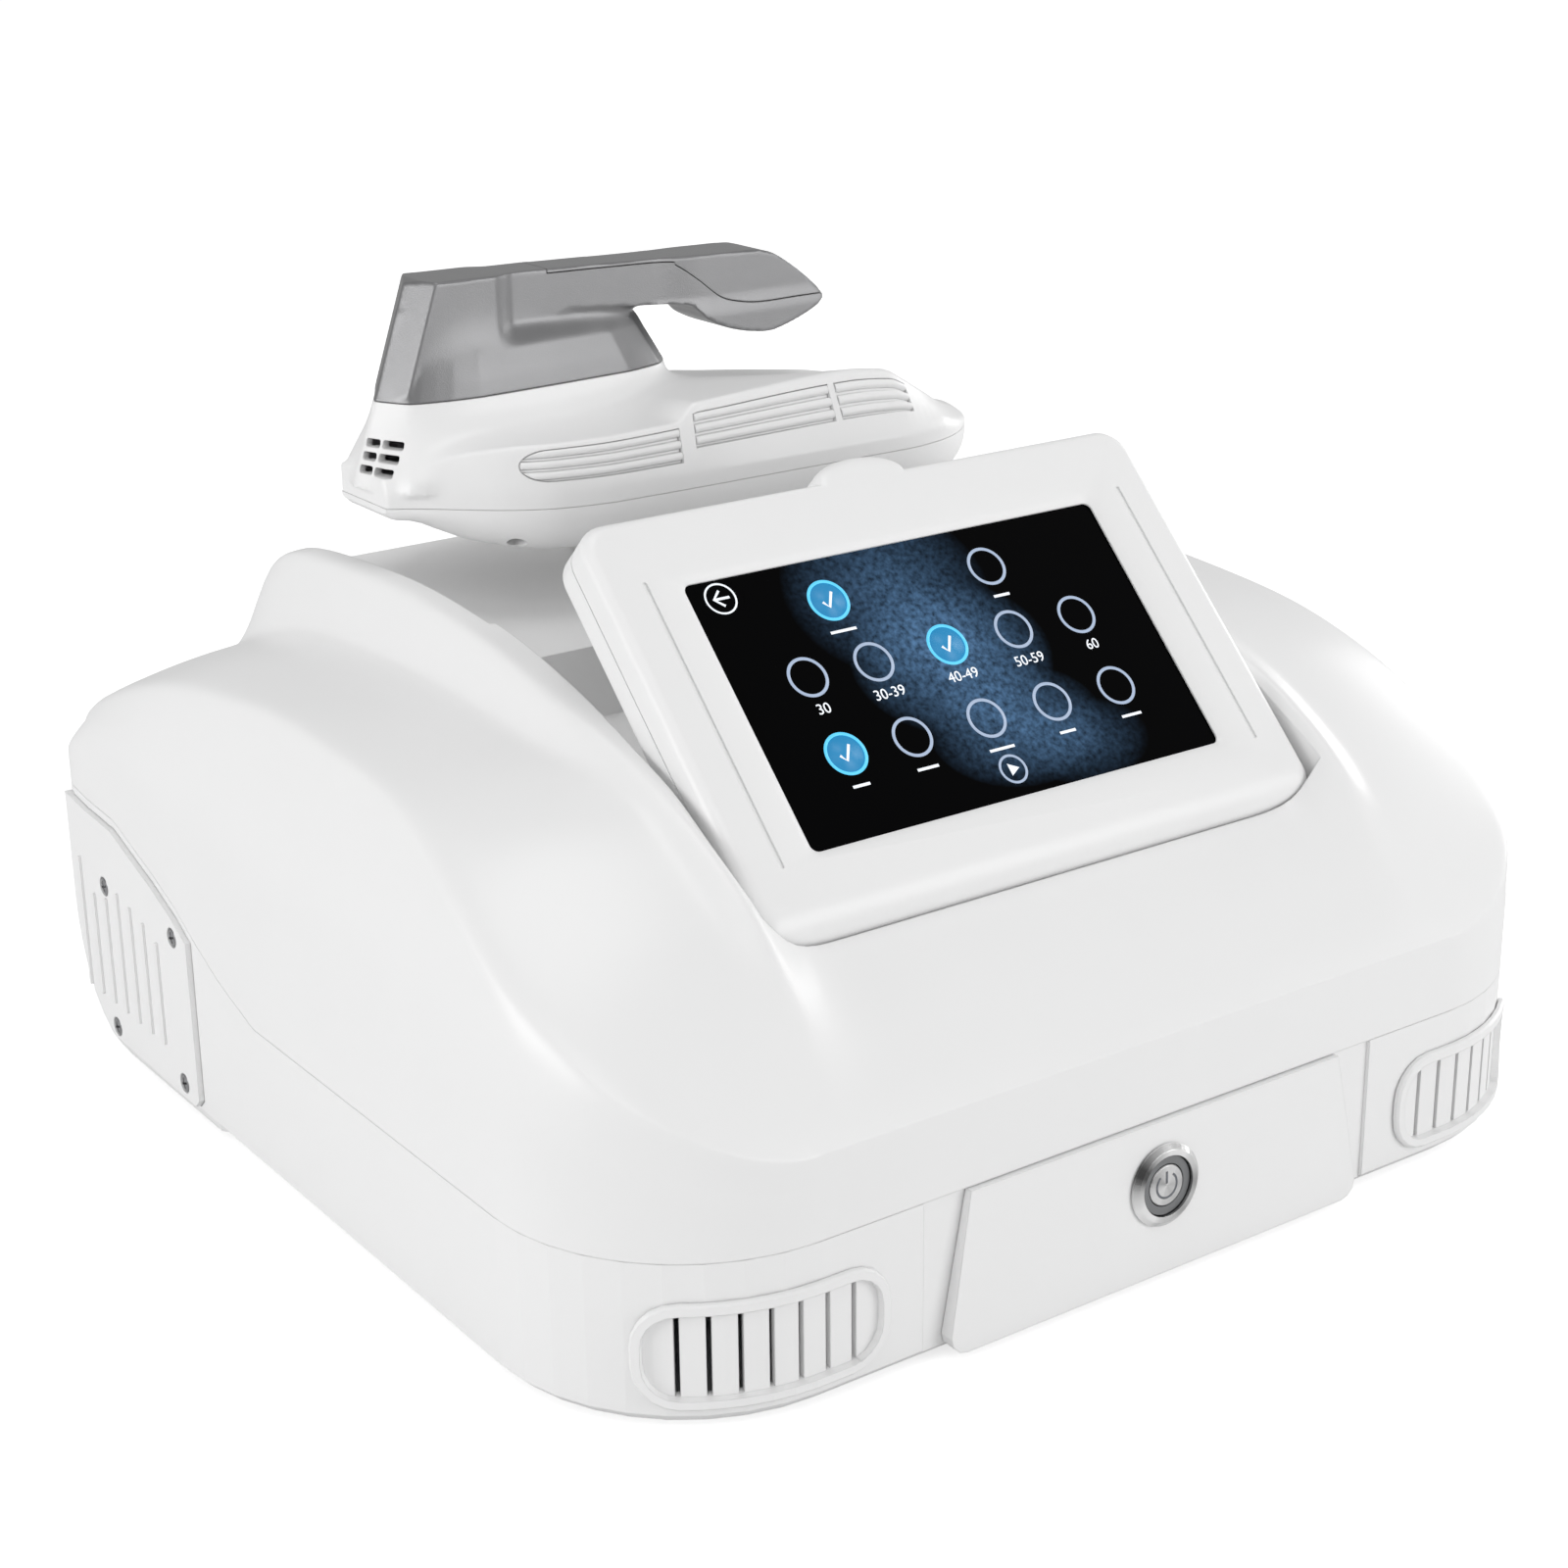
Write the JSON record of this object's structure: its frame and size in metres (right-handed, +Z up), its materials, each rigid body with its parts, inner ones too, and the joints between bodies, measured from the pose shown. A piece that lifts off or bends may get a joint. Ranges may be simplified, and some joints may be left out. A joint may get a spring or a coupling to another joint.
{
  "type": "body sculpting machine",
  "caption": "White table-top muscle-stimulation machine with a tilting screen, ridged casing, power button and a lift-off applicator with a silver handle.",
  "frame": {"origin": "centre of the footprint, under the rubber feet", "axes": "+X to the right of a user in front, +Y from the front to the back, +Z up"},
  "size_m": [0.3662, 0.3536, 0.261],
  "materials": {
    "white_plastic": "satin moulded white",
    "silver_paint": "silver metallic lacquer over plastic",
    "stainless_steel": "fine brushed",
    "plated_steel": "plated sheet",
    "aluminium": "plain",
    "display_black": "glossy black cover glass",
    "light_ring_grey": "translucent grey",
    "black_plastic": "matt",
    "rocker_red": "gloss red",
    "capacitor_sleeve": "shrink sleeve",
    "pad_white": "smooth matt",
    "copper_winding": "enamelled copper wire",
    "board_green": "solder resist",
    "foot_rubber": "matt"
  },
  "bodies": {
    "base": {"base_shell": "white_plastic", "upper_casing": "white_plastic", "button_panel": "white_plastic", "side_cover_left": "white_plastic", "side_cover_right": "white_plastic", "screw_left_1": "stainless_steel", "screw_left_2": "stainless_steel", "screw_left_3": "stainless_steel", "screw_left_4": "stainless_steel", "screw_right_1": "stainless_steel", "screw_right_2": "stainless_steel", "screw_right_3": "stainless_steel", "screw_right_4": "stainless_steel", "vent_grille_left": "white_plastic", "vent_grille_right": "white_plastic", "rear_panel": "plated_steel", "fan_frame_left": "black_plastic", "fan_frame_right": "black_plastic", "mains_inlet": "black_plastic", "switch_body": "black_plastic", "handle_socket": "stainless_steel", "power_supply": "plated_steel", "capacitor_bank": "capacitor_sleeve", "main_board": "board_green", "heat_sink": "aluminium", "foot_front_left": "foot_rubber", "foot_rear_left": "foot_rubber", "foot_front_right": "foot_rubber", "foot_rear_right": "foot_rubber", "button_bezel": "stainless_steel", "button_ring": "light_ring_grey", "button_switch": "black_plastic", "button_nut": "stainless_steel", "hinge_pin_left": "stainless_steel", "hinge_pin_right": "stainless_steel"},
    "lid": {"lid_bezel": "white_plastic", "lid_back": "white_plastic", "display_glass": "display_black", "display_module": "aluminium", "display_board": "board_green"},
    "button": {"button_cap": "stainless_steel"},
    "rocker": {"rocker": "rocker_red"},
    "fan_left": {"fan_rotor_left": "black_plastic"},
    "fan_right": {"fan_rotor_right": "black_plastic"},
    "applicator": {"head_upper_shell": "white_plastic", "head_lower_shell": "white_plastic", "louvre_left": "white_plastic", "louvre_middle": "white_plastic", "louvre_right": "white_plastic", "hose_socket": "black_plastic", "handle_grip": "silver_paint", "handle_cover": "silver_paint", "treatment_plate": "pad_white", "coil_left": "copper_winding", "coil_right": "copper_winding"}
  },
  "joints": [
    {"name": "lid_hinge", "type": "hinge", "parent": "base", "child": "lid", "pos_m": [0, -0.11497, 0.11485], "axis": [1, 0, 0], "range_deg": [-28.6, 35]},
    {"name": "power_button", "type": "slide", "parent": "base", "child": "button", "axis": [0, 0.9988, -0.0491], "range_m": [0, 0.0015], "stiffness_N_per_m": 1200},
    {"name": "mains_rocker", "type": "hinge", "parent": "base", "child": "rocker", "pos_m": [0.038, 0.17368, 0.07206], "axis": [1, 0, 0], "range_deg": [-18, 0]},
    {"name": "fan_left_spin", "type": "hinge", "parent": "base", "child": "fan_left", "pos_m": [-0.06799, 0.16838, 0.07206], "axis": [0, 1, 0], "continuous": true},
    {"name": "fan_right_spin", "type": "hinge", "parent": "base", "child": "fan_right", "pos_m": [-0.03401, 0.16838, 0.07206], "axis": [0, 1, 0], "continuous": true},
    {"name": "applicator_lift", "type": "slide", "parent": "base", "child": "applicator", "axis": [0, 0, 1], "range_m": [0, 0.15]}
  ]
}
